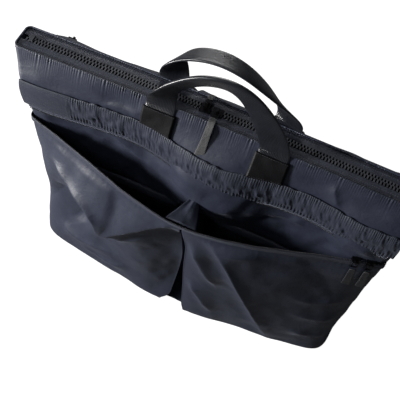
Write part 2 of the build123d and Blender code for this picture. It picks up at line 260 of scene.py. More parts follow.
def shader_group(name, inputs, outputs):
    """An empty shader node group with named sockets."""
    group = bpy.data.node_groups.new(name, "ShaderNodeTree")
    for socket, kind, value in inputs:
        made = group.interface.new_socket(name=socket, in_out="INPUT", socket_type=kind)
        if value is not None:
            made.default_value = value
    for socket, kind in outputs:
        group.interface.new_socket(name=socket, in_out="OUTPUT", socket_type=kind)
    return group, group.nodes.new("NodeGroupInput"), group.nodes.new("NodeGroupOutput")


def maths(nodes, links, operation, first, second):
    """A Math node fed by sockets or numbers."""
    node = nodes.new("ShaderNodeMath")
    node.operation = operation
    for socket, value in zip(node.inputs, (first, second)):
        if isinstance(value, (int, float)):
            socket.default_value = value
        else:
            links.new(value, socket)
    return node.outputs[0]


def twill_group():
    """Twill: fine slanted ribs of yarn, a little uneven, and the slubs and lint between them."""
    group, source, result = shader_group(
        "twill",
        [("Vector", "NodeSocketVector", None), ("Ribs per metre", "NodeSocketFloat", 1500.0)],
        [("Height", "NodeSocketFloat"), ("Shade", "NodeSocketFloat")],
    )
    nodes, links = group.nodes, group.links
    scaled = nodes.new("ShaderNodeVectorMath")
    scaled.operation = "SCALE"
    links.new(source.outputs["Vector"], scaled.inputs[0])
    links.new(source.outputs["Ribs per metre"], scaled.inputs["Scale"])
    ribs = nodes.new("ShaderNodeTexWave")
    ribs.bands_direction = "DIAGONAL"
    ribs.inputs["Scale"].default_value = 0.31
    ribs.inputs["Distortion"].default_value = 0.6
    ribs.inputs["Detail"].default_value = 1
    links.new(scaled.outputs[0], ribs.inputs["Vector"])
    slubs = nodes.new("ShaderNodeTexNoise")
    slubs.inputs["Scale"].default_value = 0.12
    slubs.inputs["Detail"].default_value = 4
    links.new(scaled.outputs[0], slubs.inputs["Vector"])
    height = maths(nodes, links, "ADD", ribs.outputs["Fac"], slubs.outputs["Fac"])
    links.new(height, result.inputs["Height"])
    links.new(slubs.outputs["Fac"], result.inputs["Shade"])
    return group


def crumple_group():
    """Crumples: the soft creases that thin cloth keeps from use, sharper on their crests."""
    group, source, result = shader_group(
        "crumple",
        [("Vector", "NodeSocketVector", None), ("Creases per metre", "NodeSocketFloat", 25.0)],
        [("Height", "NodeSocketFloat")],
    )
    nodes, links = group.nodes, group.links
    large = nodes.new("ShaderNodeTexNoise")
    large.inputs["Detail"].default_value = 3
    large.inputs["Distortion"].default_value = 0.8
    links.new(source.outputs["Vector"], large.inputs["Vector"])
    links.new(source.outputs["Creases per metre"], large.inputs["Scale"])
    crest = maths(nodes, links, "ABSOLUTE", maths(nodes, links, "SUBTRACT", large.outputs["Fac"], 0.5), 0)
    small = nodes.new("ShaderNodeTexNoise")
    small.inputs["Detail"].default_value = 2
    small.inputs["Distortion"].default_value = 1.2
    links.new(source.outputs["Vector"], small.inputs["Vector"])
    finer = maths(nodes, links, "MULTIPLY", source.outputs["Creases per metre"], 3.4)
    links.new(finer, small.inputs["Scale"])
    small_swell = maths(nodes, links, "SUBTRACT", small.outputs["Fac"], 0.5)
    small_crest = maths(nodes, links, "ABSOLUTE", small_swell, 0)
    both = maths(nodes, links, "ADD", crest, maths(nodes, links, "MULTIPLY", small_crest, 0.32))
    links.new(maths(nodes, links, "SUBTRACT", 0.5, both), result.inputs["Height"])
    return group


twill = twill_group()
crumple = crumple_group()


def blank_material(name):
    """A new material, with its nodes and links."""
    material = bpy.data.materials.new(name)
    material.use_nodes = True
    return material, material.node_tree.nodes, material.node_tree.links


def blotches(nodes, links, place, scale, detail):
    """Soft random patches, from 0 to 1."""
    patches = nodes.new("ShaderNodeTexNoise")
    patches.inputs["Scale"].default_value = scale
    patches.inputs["Detail"].default_value = detail
    links.new(place, patches.inputs["Vector"])
    return patches.outputs["Fac"]


def two_tones(nodes, links, shade, dark, dark_at, light, light_at):
    """Colours a surface from a dark tone to a light one."""
    ramp = nodes.new("ShaderNodeValToRGB")
    ramp.color_ramp.elements[0].position = dark_at
    ramp.color_ramp.elements[0].color = (*dark, 1)
    ramp.color_ramp.elements[1].position = light_at
    ramp.color_ramp.elements[1].color = (*light, 1)
    links.new(shade, ramp.inputs[0])
    links.new(ramp.outputs[0], nodes["Principled BSDF"].inputs["Base Color"])


def uneven_gloss(nodes, links, shade, roughness, spread):
    """Roughness that wanders about its middle value, as rubbed and dusty places do."""
    wander = maths(nodes, links, "MULTIPLY", shade, spread)
    rough = maths(nodes, links, "ADD", wander, roughness - spread / 2)
    links.new(rough, nodes["Principled BSDF"].inputs["Roughness"])


def relief(nodes, links, height, distance, strength=1.0, under=None):
    """The normal of a raised pattern, laid over another one where that is given."""
    bump = nodes.new("ShaderNodeBump")
    bump.inputs["Distance"].default_value = distance
    bump.inputs["Strength"].default_value = strength
    links.new(height, bump.inputs["Height"])
    if under is not None:
        links.new(under, bump.inputs["Normal"])
    return bump.outputs[0]


def cloth_material(name, colour, faded, roughness, sheen, ribs, crease_height, weave_height, uv=True):
    """Woven cloth: colour that varies a little, a weave and creases in its normal, and a soft sheen."""
    material, nodes, links = blank_material(name)
    surface = nodes["Principled BSDF"]
    place = nodes.new("ShaderNodeTexCoord").outputs["UV" if uv else "Object"]
    weave = nodes.new("ShaderNodeGroup")
    weave.node_tree = twill
    weave.inputs["Ribs per metre"].default_value = ribs
    links.new(place, weave.inputs["Vector"])
    creases = nodes.new("ShaderNodeGroup")
    creases.node_tree = crumple
    links.new(place, creases.inputs["Vector"])
    tone = blotches(nodes, links, place, 14, 5)
    shade = maths(nodes, links, "ADD", tone, weave.outputs["Shade"])
    two_tones(nodes, links, maths(nodes, links, "MULTIPLY", shade, 0.8), colour, 0.55, faded, 1.0)
    uneven_gloss(nodes, links, tone, roughness, 0.12)
    surface.inputs["Specular IOR Level"].default_value = 0.42
    surface.inputs["Sheen Weight"].default_value = sheen
    surface.inputs["Sheen Roughness"].default_value = 0.35
    surface.inputs["Sheen Tint"].default_value = (0.75, 0.8, 1.0, 1)
    soft = relief(nodes, links, creases.outputs["Height"], crease_height * MM)
    fine = relief(nodes, links, weave.outputs["Height"], weave_height * MM, 0.6, soft)
    links.new(fine, surface.inputs["Normal"])
    return material


navy = (0.024, 0.028, 0.047)
worn_navy = (0.030, 0.035, 0.057)
nylon = cloth_material(
    "navy_nylon", navy, worn_navy, roughness=0.45, sheen=0.08,
    ribs=1500, crease_height=1.15, weave_height=0.12,
)

# Sections of the loft from the floor to the zip: half depth, height, half length, corner radius.
shell_sections = rounded(
    [
        (37.0, 0.7, 226.0, 14.0),
        (43.5, 1.6, 233.0, 14.0),
        (wall_y + 0.5, 9.0, 235.5, 14.0),
        (wall_y + 0.5, 110.0, 240.0, 14.0),
        (wall_y + 0.5, 215.0, 246.0, 13.0),
        (wall_y + 0.3, 290.0, 251.0, 12.0),
        (wall_y - 3.0, 318.0, 254.0, 11.0),
        (wall_y - 17.2, 336.0, 259.0, 9.0),
        (ridge_y + 2.0, ridge_z + 0.5, ridge_half + 2.5, 7.0),
    ]
)


def panel_line(half_along, half_out, radius, share):
    """One side of a rounded rectangle, from the middle of one corner to the middle of the next."""
    corner = radius * pi / 4
    straight = 2 * (half_along - radius)
    length = share * (straight + 2 * corner)
    before = np.clip(length, 0, corner) / radius
    level = np.clip(length - corner, 0, straight)
    after = np.clip(length - corner - straight, 0, corner) / radius
    along = radius - half_along - radius * np.sin(pi / 4 - before) + level + radius * np.sin(after)
    out = half_out - radius + radius * np.cos(pi / 4 - before) - radius * (1 - np.cos(after))
    return along, out


# How far the front wall rolls back or forward along its length, where it hangs free over the mouth.
wall_wave = rounded(
    [
        (-262, 0),
        (-225, -2),
        (-150, 8),
        (-96, 11),
        (-50, 2),
        (-15, -9),
        (25, -12),
        (62, -4),
        (90, 4),
        (145, 6),
        (205, -7),
        (262, 0),
    ],
    4,
)


def settle(points):
    """How the sewn bag hangs: its zip bows, its left end pulls out and its front wall rolls in waves."""
    x, y, z = points[..., 0], points[..., 1], points[..., 2]
    bow = (1.2 - 2.4 * (x / ridge_half) ** 2) * smoothstep((z - 290) / 60)
    wing = 10.0 * smoothstep((-x - 120) / 140) * smoothstep((z - 240) / 110)
    wave = np.interp(x, wall_wave[:, 0], wall_wave[:, 1])
    wave = wave * smoothstep((z - 205) / 55) * smoothstep((347 - z) / 36) * (y < 0)
    return np.stack([x - wing, y + bow + wave, z + bow], -1)


def shell_panel(side, rows, columns):
    """The points of one panel of the shell. Sides are front, right, back and left."""
    section = spaced(shell_sections, rows, axes=[0, 1])
    depth, height, length, radius = (section[:, k][:, None] for k in range(4))
    share = np.broadcast_to(columns[None, :], (len(rows), len(columns)))
    if side in ("front", "back"):
        along, out = panel_line(length, depth, radius, share)
        x, y = (along, -out) if side == "front" else (-along, out)
    else:
        along, out = panel_line(depth, length, radius, share)
        x, y = (out, along) if side == "right" else (-out, -along)
    z = np.broadcast_to(height, x.shape)
    return np.stack([x, y, z], -1)


def push_out(points, distance):
    """Moves every point of a grid along the surface's own normal."""
    across = np.gradient(points, axis=1)
    up = np.gradient(points, axis=0)
    normal = np.cross(across, up)
    normal /= np.maximum(np.linalg.norm(normal, axis=2, keepdims=True), 1e-9)
    return points + normal * distance[..., None]


def nearest_on_path(x, z, path):
    """How far a path is from each point, if the point is over it, and the nearest place along it."""
    nearest = np.full(x.shape, 1e9)
    over = np.zeros(x.shape, bool)
    place = np.zeros(x.shape)
    for step, (start, end) in enumerate(zip(path[:-1, :2], path[1:, :2])):
        along = end - start
        share = np.clip(((x - start[0]) * along[0] + (z - start[1]) * along[1]) / (along @ along), 0, 1)
        right = x - start[0] - share * along[0]
        up = z - start[1] - share * along[1]
        distance = np.hypot(right, up)
        closer = distance < nearest
        nearest = np.where(closer, distance, nearest)
        over = np.where(closer, along[0] * up - along[1] * right > 0, over)
        place = np.where(closer, step + share, place)
    return nearest, over, place


def fold(x, z, path, height, above, below):
    """A fold along a path that travels to the right, and how far it spreads above and below its crest."""
    path = rounded(path, 2)
    nearest, over, place = nearest_on_path(x, z, path)
    share = place / (len(path) - 1)
    spread = np.where(over, above, below)
    taper = smoothstep(share * 4) * smoothstep((1 - share) * 4)
    return height * taper * np.exp(-((nearest / spread) ** 1.25))


def flap(x, z, edge):
    """Cloth that leans out to a hanging edge and drops back under it.

    The edge travels to the right in rows of x, z, height, and reach above and below it.
    """
    edge = rounded(edge, 2)
    nearest, over, place = nearest_on_path(x, z, edge)
    height, above, below = (np.interp(place, np.arange(len(edge)), edge[:, k]) for k in (2, 3, 4))
    return height * np.where(over, np.clip(1 - nearest / above, 0, 1), np.exp(-((nearest / below) ** 1.5)))


def soften(heights, rounds):
    """Heights on a grid with their sharp steps worn down."""
    for _ in range(rounds):
        wide = np.pad(heights, 1, mode="edge")
        heights = (wide[:-2, 1:-1] + wide[2:, 1:-1] + wide[1:-1, :-2] + wide[1:-1, 2:] + 2 * heights) / 6
    return heights


def beside_patches(x):
    """0 where the leather patches of the handles hold the roof flat, and 1 beside them."""
    return smoothstep((np.abs(np.abs(x) - foot_x) - patch_half - 0.25) / 8)


def front_folds(points):
    """How the front wall sags in the open mouth and puckers under the zip."""
    x, z = points[..., 0], points[..., 2]
    # In the open mouth the wall bulges low down and hangs in two long rolls.
    mouth = smoothstep((z - 150) / 60) * smoothstep((300 - z) / 22) * smoothstep((246 - np.abs(x)) / 30)
    drape = 4.6 * noise(x / 46 + z / 60, z / 34 - x / 90, 5)
    drape += 1.6 * noise(x / 17 - z / 30, z / 15 + x / 50, 6)
    drape += fold(x, z, [(-150, 282), (-120, 262), (-80, 244), (-30, 240)], 5.0, 9, 16)
    drape += 9.0 * np.exp(-(((z - 205) / 40) ** 2))
    drape -= 0.8 * np.interp(x, wall_wave[:, 0], wall_wave[:, 1]) * smoothstep((z - 190) / 30)
    drape += fold(x, z, [(40, 268), (80, 252), (120, 262), (160, 248)], 4.5, 12, 9)
    # Above the facing it is pulled into creases beside the handles and gathered along the zip.
    slope = smoothstep((z - 318) / 8) * beside_patches(x)
    pull = 1.6 * noise(x / 33, z / 12, 8) * smoothstep((351 - z) / 14)
    pull += fold(x, z, [(150, 345), (156, 330), (170, 318)], 2.6, 5, 8)
    pull += fold(x, z, [(-156, 320), (-130, 333), (-102, 326)], -1.6, 10, 6)
    pucker = gathers(x, (ridge_z - 2 - z) * 1.3, 11, 2.8, 0.95, 8.0)
    return mouth * drape + slope * (pull + pucker)


low_rows = np.linspace(0, 0.5, 30)[:-1]
mouth_rows = np.linspace(0.5, 0.83, 60)[:-1]
roof_rows = np.linspace(0.83, 1, 34)
shell_rows = np.concatenate([low_rows, mouth_rows, roof_rows])


def shell_points(side, seed):
    """The sagging cloth of one panel of the shell."""
    wide = side in ("front", "back")
    columns = np.linspace(0, 1, 560 if wide else 60)
    points = shell_panel(side, shell_rows, columns)
    x, y, z = points[..., 0], points[..., 1], points[..., 2]
    seam = smoothstep(np.minimum(columns, 1 - columns) * (14 if wide else 3))[None, :]
    ends = smoothstep(z / 30) * smoothstep((ridge_z - 6 - z) / 25)
    if side == "front":
        sag = front_folds(points)
    elif side == "back":
        sag = 3.2 + 3.0 * noise(x / 70 + z / 140, z / 60 - x / 160, seed)
        sag += 1.5 * noise(x / 26, z / 21, seed + 1)
        sag = sag * ends * np.minimum(beside_patches(x) + smoothstep((316 - z) / 8), 1)
        sag += gathers(x, (ridge_z - 2 - z) * 1.3, seed + 2, 2.9, 0.85, 6.0) * smoothstep((z - 318) / 8)
    else:
        crease = np.exp(-((y / 13) ** 2)) * smoothstep((z - 120) / 150)
        sag = 2.2 * noise(y / 24, z / 46, seed) + 1.1 * noise(y / 13, z / 17, seed + 1) - 7.0 * crease
        sag = sag * ends
    return settle(push_out(points, sag * seam))


front_points = shell_points("front", 21)
back_points = shell_points("back", 31)
right_points = shell_points("right", 41)
left_points = shell_points("left", 51)
finish_piece(cloth("shell_front", front_points, 2.0), nylon, "bag", ["front_panel"])
finish_piece(cloth("shell_back", back_points, 2.0), nylon, "bag", ["back_panel"])
finish_piece(cloth("shell_right_gusset", right_points, 2.0), nylon, "bag", ["right_gusset"])
finish_piece(cloth("shell_left_gusset", left_points, 2.0), nylon, "bag", ["left_gusset"])


grey = (0.020, 0.021, 0.027)
worn_grey = (0.030, 0.031, 0.038)
lining = cloth_material(
    "grey_lining", grey, worn_grey, roughness=0.6, sheen=0.1,
    ribs=2600, crease_height=1.2, weave_height=0.05,
)


def lining_piece(name, grids, node):
    """The lining hangs just inside the shell's own sag."""
    behind = 3.2
    inside = []
    for points in grids:
        coarse = points[8:-6:4, ::4]
        inside.append(push_out(coarse, np.full(coarse.shape[:2], -behind)))
    finish_piece(cloth(name, inside, 0.6), lining, "bag", [node])


lining_piece("lining_front_cloth", [front_points], "lining_front")
lining_piece("lining_back_cloth", [back_points], "lining_back")
lining_piece("lining_side_cloth", [right_points, left_points], "lining_sides")


def base_panel():
    """The bottom of the shell, held flat by its stiffener and turned up at the edges."""
    first = shell_sections[0]
    share = np.linspace(0, 1, 61)
    corners = []
    for side in ("front", "right", "back", "left"):
        line = shell_panel(side, np.array([0.0]), share)[0]
        corners.append(line[:-1])
    rim = np.vstack(corners)
    rings = [rim]
    for scale, rise in ((0.97, 0.2), (0.8, 0.3), (0.4, 0.3), (0.02, 0.3)):
        ring = rim * (scale, scale, 0)
        ring[:, 2] = rise
        rings.append(ring)
    grid = np.array(rings)
    grid = np.concatenate([grid, grid[:, :1]], axis=1)[::-1]
    finish_piece(cloth("shell_base", grid, 1.5), nylon, "bag", ["bottom_panel"])


base_panel()

# ---------------------------------------------------------------------------------------------
# Facings: a gathered strip of the same nylon is sewn over the front and back zips, puckered along
# both edges by its elastic, plain at its left end, where three rows of stitching hold it down.
def wall_depth(z):
    """Half the depth of the shell at a height."""
    order = np.argsort(shell_sections[:, 1])
    return np.interp(z, shell_sections[order, 1], shell_sections[order, 0])


def on_wall(x, z, out, side):
    """A point over the front wall (side -1) or the back wall (side 1)."""
    return np.stack(np.broadcast_arrays(x, side * (wall_depth(z) + out), z), -1)


def repeated(name, places, size, material, round_shape=True):
    """Copies of a small part at places in millimetres, made by Geometry Nodes and kept as one mesh."""
    mesh = bpy.data.meshes.new(name + "_places")
    mesh.from_pydata((np.asarray(places) * MM).tolist(), [], [])
    holder = bpy.data.objects.new(name + "_places", mesh)
    scene.collection.objects.link(holder)
    tree = bpy.data.node_groups.new(name, "GeometryNodeTree")
    new_socket = tree.interface.new_socket
    new_socket(name="Places", in_out="INPUT", socket_type="NodeSocketGeometry")
    size_input = new_socket(name="Size", in_out="INPUT", socket_type="NodeSocketVector")
    material_input = new_socket(name="Material", in_out="INPUT", socket_type="NodeSocketMaterial")
    new_socket(name="Parts", in_out="OUTPUT", socket_type="NodeSocketGeometry")
    nodes, links = tree.nodes, tree.links
    source = nodes.new("NodeGroupInput")
    result = nodes.new("NodeGroupOutput")
    if round_shape:
        part = nodes.new("GeometryNodeMeshUVSphere")
        part.inputs["Segments"].default_value = 6
        part.inputs["Rings"].default_value = 4
        part.inputs["Radius"].default_value = 0.5
    else:
        part = nodes.new("GeometryNodeMeshCube")
    copies = nodes.new("GeometryNodeInstanceOnPoints")
    links.new(source.outputs["Places"], copies.inputs["Points"])
    links.new(part.outputs["Mesh"], copies.inputs["Instance"])
    links.new(source.outputs["Size"], copies.inputs["Scale"])
    real = nodes.new("GeometryNodeRealizeInstances")
    links.new(copies.outputs[0], real.inputs[0])
    smooth = nodes.new("GeometryNodeSetShadeSmooth")
    smooth.inputs["Shade Smooth"].default_value = round_shape
    links.new(real.outputs[0], smooth.inputs[0])
    painted = nodes.new("GeometryNodeSetMaterial")
    links.new(smooth.outputs[0], painted.inputs["Geometry"])
    links.new(source.outputs["Material"], painted.inputs["Material"])
    links.new(painted.outputs[0], result.inputs[0])
    maker = holder.modifiers.new("parts", "NODES")
    maker.node_group = tree
    maker[size_input.identifier] = [side * MM for side in size]
    maker[material_input.identifier] = material
    made = bpy.data.meshes.new_from_object(holder.evaluated_get(bpy.context.evaluated_depsgraph_get()))
    bpy.data.objects.remove(holder)
    piece = bpy.data.objects.new(name, made)
    scene.collection.objects.link(piece)
    return piece


def thread_material(name, colour):
    """Sewing thread: a soft twist in its bump, with the same noise painted into its colour as light and
    shade along each stitch.
    """
    material, nodes, links = blank_material(name)
    surface = nodes["Principled BSDF"]
    twist_and_painted_shade = blotches(nodes, links, nodes.new("ShaderNodeTexCoord").outputs["Object"], 900, 2)
    # The colour is darker where the twist's bump dips and lighter where it rises: painted shade and light.
    two_tones(nodes, links, twist_and_painted_shade, [share * 0.6 for share in colour], 0.35, colour, 0.65)
    links.new(relief(nodes, links, twist_and_painted_shade, 0.2 * MM), surface.inputs["Normal"])
    surface.inputs["Roughness"].default_value = 0.5
    return material


navy_thread = thread_material("navy_thread", (0.06, 0.064, 0.085))
band_navy = (0.026, 0.030, 0.047)
worn_band = (0.035, 0.040, 0.060)
facing_cloth = cloth_material(
    "facing_cloth", band_navy, worn_band, roughness=0.5, sheen=0.1,
    ribs=1500, crease_height=0.8, weave_height=0.12,
)
band_low, band_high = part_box("front_band")
facing_half = band_high.x / MM + 1
facing_low = band_low.z / MM + 1
facing_high = band_high.z / MM + 1
plain_end = -190.0                   # the front facing is plain and sewn flat from its left end to here


def facing_points(x, share, side, seed):
    """The gathered surface of a facing; share runs from its lower edge to its upper edge."""
    z = facing_low + (facing_high - facing_low) * share
    gathered = smoothstep((x - plain_end) / 10) if side < 0 else np.ones(np.shape(x))
    low_edge = z - facing_low
    high_edge = facing_high - z
    puff = 1.5 * np.sin(pi * np.clip(share, 0, 1)) ** 0.6
    dents = gathers(x, low_edge - 5, seed, 4.2, 0.75, 6.0)
    dents += gathers(x + 3, high_edge - 3, seed + 4, 2.9, 0.5, 6.0)
    body = 1.1 * noise(x / 8, z / 9, seed + 7) + 0.9 * noise(x / 3.6 + z / 14, z / 8, seed + 8)
    out = 2.4 + puff + gathered * (dents + body * np.sin(pi * np.clip(share, 0, 1)))
    at_edges = np.exp(-low_edge / 5) - np.exp(-high_edge / 5)
    edge_wobble = 1.1 * noise(x / 7, 0.0, seed + 9) * gathered * at_edges
    return settle(on_wall(x, z + edge_wobble, out, side))


def facing(name, side, seed, node):
    """One facing with its rows of stitching."""
    x = np.linspace(-facing_half, facing_half, 900) * -side
    share = np.linspace(0, 1, 26)
    across, up = np.meshgrid(x, share)
    points = facing_points(across, up, side, seed)
    turned_under = points[:1] + (0, -side * 2.2, 1.2)
    piece = cloth(name, np.vstack([turned_under, points]), 0.9)
    finish_piece(piece, facing_cloth, "bag", [node])
    stitch_pitch = 3.1
    rows = []
    # Two rows run along each edge of the strip.
    for share in (0.13, 0.2, 0.86, 0.93):
        x = np.arange(-facing_half + 3, facing_half - 3, stitch_pitch)
        rows.append(facing_points(x, np.full(x.shape, share), side, seed))
    # Three more rows and an upright one hold the plain end of the front strip.
    if side < 0:
        for share in (0.38, 0.5, 0.62):
            x = np.arange(-facing_half + 4, plain_end, stitch_pitch)
            rows.append(facing_points(x, np.full(x.shape, share), side, seed))
        share = np.arange(0.12, 0.9, 0.07)
        rows.append(facing_points(np.full(share.shape, plain_end + 2), share, side, seed))
    stitches = repeated(name + "_stitches", np.vstack(rows), (2.3, 0.5, 0.5), navy_thread)
    finish_piece(stitches, navy_thread)


facing("front_facing", -1, 61, "front_band")
facing("back_facing", 1, 71, "back_band")

# ---------------------------------------------------------------------------------------------
# Top zip: a heavy moulded zip along the whole ridge on two woven tapes, closed by two metal
# sliders that meet left of the middle. Each slider has a metal puller with a webbing tab.
tape_navy = (0.033, 0.037, 0.055)
worn_tape = (0.046, 0.051, 0.074)
tape_cloth = cloth_material(
    "zip_tape_cloth", tape_navy, worn_tape, roughness=0.5, sheen=0.12,
    ribs=1100, crease_height=0.8, weave_height=0.14,
)


def moulded_material(name, colour, roughness):
    """Moulded plastic: nearly even, with dust and rubbed spots in its roughness."""
    material, nodes, links = blank_material(name)
    wear = blotches(nodes, links, nodes.new("ShaderNodeTexCoord").outputs["Object"], 160, 4)
    dark = [share * 0.75 for share in colour]
    light = [share * 1.3 for share in colour]
    two_tones(nodes, links, wear, dark, 0.35, light, 0.7)
    uneven_gloss(nodes, links, wear, roughness, 0.3)
    return material


def metal_material():
    """Black-plated metal, rubbed brighter in places."""
    material = moulded_material("dark_metal", (0.016, 0.0165, 0.02), 0.34)
    material.node_tree.nodes["Principled BSDF"].inputs["Metallic"].default_value = 0.85
    return material


grey_plastic = moulded_material("grey_plastic", (0.060, 0.063, 0.074), 0.38)
dark_metal = metal_material()
teeth_low, teeth_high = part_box("top_zip_front_teeth")
chain_z = (teeth_low.z + teeth_high.z) / 2 / MM
chain_half = teeth_high.x / MM - 1.5
tape_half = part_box("top_zip_front_tape")[1].x / MM


def zip_tape(name, side, node):
    """One tape of the top zip, puckered along the seam that joins it to the shell."""
    x = np.linspace(-ridge_half - 0.4, ridge_half + 0.4, 520) * -side
    share = np.linspace(0, 1, 12)
    across, up = np.meshgrid(x, share)
    y = side * (4.2 + 13.6 * (1 - up))
    lift = 0.35 * noise(across / 12, up * 2, 80 + side)
    lift += gathers(across, 16 * up - 1, 82 + side, 3.0, 0.4, 5)
    z = chain_z + 0.7 + lift * np.sin(pi * up) ** 0.5 - 1.4 * (1 - up) ** 2
    tape = cloth(name, settle(np.stack([across, y, z], -1)), 0.9)
    finish_piece(tape, tape_cloth, "bag", [node])
    x = np.arange(-tape_half + 3, tape_half - 3, 2.8)
    rows = []
    for out in (10.5, 14.5):
        rows.append(np.stack(np.broadcast_arrays(x, side * out, chain_z + 1.2), -1))
    thread = repeated(name + "_stitches", settle(np.vstack(rows)), (2.0, 0.45, 0.45), navy_thread)
    finish_piece(thread, navy_thread)


def zip_teeth(name, side, node):
    """One row of moulded teeth; the rear row stands half a step along from the front row."""
    pitch = 4.0
    x = np.arange(-chain_half, chain_half, pitch) + (pitch / 2 if side > 0 else 0)
    feet = settle(np.stack(np.broadcast_arrays(x, side * 2.1, chain_z), -1))
    teeth = repeated(name, feet, (1.9, 4.6, 3.9), grey_plastic, False)
    finish_piece(teeth, grey_plastic, "bag", [node])


zip_tape("top_tape_front", -1, "top_zip_front_tape")
zip_tape("top_tape_back", 1, "top_zip_back_tape")
zip_teeth("top_teeth_front", -1, "top_zip_front_teeth")
zip_teeth("top_teeth_back", 1, "top_zip_back_teeth")


def repaint(material, *names):
    """Gives CAD nodes that are kept as they are a full material."""
    for name in names:
        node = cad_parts[name]
        node.data.materials.clear()
        node.data.materials.append(material)


repaint(grey_plastic, "top_zip_end_stops")
repaint(dark_metal, "right_top_slider", "left_top_slider", "right_top_puller", "left_top_puller")


def tube(name, rings, across):
    """A closed skin over rings of points, with a UV map across and along in metres."""
    count, around = rings.shape[:2]
    index = np.arange(count * around).reshape(count, around)
    ahead = np.roll(index, -1, axis=1)
    quads = np.stack([index[:-1], ahead[:-1], ahead[1:], index[1:]], -1).reshape(-1, 4)
    faces = quads.tolist()
    faces.append(index[0][::-1].tolist())
    faces.append(index[-1].tolist())
    mesh = bpy.data.meshes.new(name)
    mesh.from_pydata((rings.reshape(-1, 3) * MM).tolist(), [], faces)
    middle = rings.mean(1)
    length = np.concatenate([[0], np.cumsum(np.linalg.norm(np.diff(middle, axis=0), axis=1))])
    place = np.stack(np.broadcast_arrays(across[None, :], length[:, None]), -1).reshape(-1, 2) * MM
    corners = [corner for face in faces for corner in face]
    layer = mesh.uv_layers.new(name="Cloth")
    layer.data.foreach_set("uv", place[corners].astype(np.float32).ravel())
    mesh.shade_smooth()
    piece = bpy.data.objects.new(name, mesh)
    scene.collection.objects.link(piece)
    return piece


def ribbon(name, keys, steps, cup):
    """Webbing along keys of place, tilt in degrees, width and thickness.

    With no tilt its faces look to the front and back of the bag. Its edges curl up by the cup.
    """
    path = spaced(rounded(keys, 3), np.linspace(0, 1, steps), axes=[0, 1, 2])
    middle = path[:, :3]
    tangent = np.gradient(middle, axis=0)
    tangent /= np.linalg.norm(tangent, axis=1, keepdims=True)
    radial = np.cross(tangent, (0, 1, 0))
    radial /= np.linalg.norm(radial, axis=1, keepdims=True)
    front = np.cross(tangent, radial)
    tilt = np.radians(path[:, 3:4])
    across = radial * np.cos(tilt) + front * np.sin(tilt)
    normal = np.cross(tangent, across)
    angle = np.linspace(0, 2 * pi, 40, endpoint=False)
    flat = np.sign(np.cos(angle)) * np.abs(np.cos(angle)) ** 0.55 / 2
    deep = np.sign(np.sin(angle)) * np.abs(np.sin(angle)) ** 0.7 / 2
    rings = middle[:, None] + across[:, None] * flat[None, :, None] * path[:, 4][:, None, None]
    rise = deep[None, :] * path[:, 5][:, None] + cup * (flat[None, :] * 2) ** 2
    rings = rings + normal[:, None] * rise[..., None]
    return tube(name, rings[:, ::-1], flat[::-1] * path[:, 4].mean())


def webbing_material(name, colour, light, ribs_per_metre, roughness, sheen):
    """Woven webbing: ribs along its length, fine yarns across them and a satin sheen, with painted shade in
    the grooves between the ribs and painted light on their crests.
    """
    material, nodes, links = blank_material(name)
    surface = nodes["Principled BSDF"]
    place = nodes.new("ShaderNodeTexCoord").outputs["UV"]
    ribs = nodes.new("ShaderNodeTexWave")
    ribs.bands_direction = "X"
    ribs.inputs["Scale"].default_value = ribs_per_metre * 0.314
    ribs.inputs["Distortion"].default_value = 0.3
    links.new(place, ribs.inputs["Vector"])
    yarns = nodes.new("ShaderNodeTexWave")
    yarns.bands_direction = "Y"
    yarns.inputs["Scale"].default_value = 310
    yarns.inputs["Distortion"].default_value = 1.5
    links.new(place, yarns.inputs["Vector"])
    tone = blotches(nodes, links, place, 60, 5)
    # The ribs' colour is darker in their grooves and lighter on their crests: painted shade and painted
    # light.
    painted_rib_shade = maths(nodes, links, "MULTIPLY", ribs.outputs["Fac"], 0.4)
    two_tones(nodes, links, maths(nodes, links, "ADD", painted_rib_shade, tone), colour, 0.4, light, 1.0)
    uneven_gloss(nodes, links, tone, roughness, 0.2)
    surface.inputs["Specular IOR Level"].default_value = 0.85
    surface.inputs["Sheen Weight"].default_value = sheen
    surface.inputs["Sheen Roughness"].default_value = 0.3
    yarn_height = maths(nodes, links, "MULTIPLY", yarns.outputs["Fac"], 0.35)
    height = maths(nodes, links, "ADD", yarn_height, ribs.outputs["Fac"])
    links.new(relief(nodes, links, height, 0.22 * MM, 0.8), surface.inputs["Normal"])
    return material


# The lighter colour shows where the tone wanders lighter at random, and on the rib crests as painted light.
tab_black = (0.006, 0.007, 0.010)
worn_and_rib_lit_tab = (0.013, 0.014, 0.019)
tab_webbing = webbing_material(
    "tab_webbing", tab_black, worn_and_rib_lit_tab, ribs_per_metre=900, roughness=0.62, sheen=0.02
)
slope_y = 18.96                      # the upper edge of the slope, out from the middle
slope_z = 347.97                     # and its height
slope_out = 0.592                    # a step of one down the slope goes out by this
slope_fall = 0.806                   # and falls by this


def on_slope(x, down, out, side):
    """A point over the sloping top of the front wall (side -1) or of the back wall (side 1)."""
    y = side * (slope_y + slope_out * down + slope_fall * out)
    z = slope_z - slope_fall * down + slope_out * out
    return np.stack(np.broadcast_arrays(x, y, z), -1)


